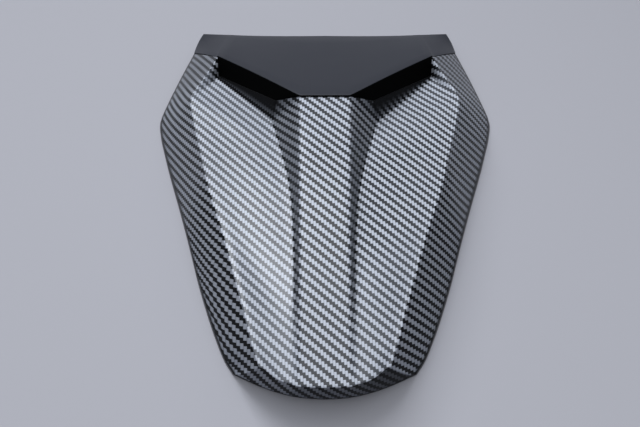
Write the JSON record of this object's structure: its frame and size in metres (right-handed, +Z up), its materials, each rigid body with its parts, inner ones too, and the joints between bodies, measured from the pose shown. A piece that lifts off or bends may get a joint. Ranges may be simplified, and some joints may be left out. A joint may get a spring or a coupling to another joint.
{
  "type": "seat cowl",
  "caption": "Single-seat tail cover for a motorcycle: a woven-pattern shell with a central spine and two scoops, a matt black front cap and a latch striker below.",
  "frame": {"origin": "middle of the bounding box, on the plane on which the rim of the shell stands", "axes": "+Z up, +Y towards the rider and the front cap, +X across"},
  "size_m": [0.2696, 0.3432, 0.0897],
  "materials": {
    "weave_film": "ABS with a clear-coated film of a two-by-two twill weave, silver grey on black",
    "cap_abs": "fine-grained matt black ABS",
    "tray_abs": "plain moulded black ABS",
    "rubber": "moulded black rubber",
    "striker_steel": "drawn steel rod, zinc plated",
    "plate_steel": "pressed steel sheet, zinc plated",
    "zinc_steel": "zinc-plated steel fasteners"
  },
  "bodies": {
    "root": {"shell": "weave_film", "front_cap": "cap_abs", "tray": "tray_abs", "striker_plate": "plate_steel", "striker_loop": "striker_steel", "tongue_left": "plate_steel", "tongue_right": "plate_steel", "bumper_front_left": "rubber", "bumper_front_right": "rubber", "bumper_rear_left": "rubber", "bumper_rear_right": "rubber", "shell_screw_1": "zinc_steel", "shell_screw_2": "zinc_steel", "shell_screw_3": "zinc_steel", "shell_screw_4": "zinc_steel", "shell_screw_5": "zinc_steel", "shell_screw_6": "zinc_steel", "cap_screw_left": "zinc_steel", "cap_screw_right": "zinc_steel", "striker_bolt_left": "zinc_steel", "striker_bolt_right": "zinc_steel", "striker_nut_left": "zinc_steel", "striker_nut_right": "zinc_steel", "tongue_bolt_left": "zinc_steel", "tongue_bolt_right": "zinc_steel", "tongue_nut_left": "zinc_steel", "tongue_nut_right": "zinc_steel"}
  },
  "joints": []
}
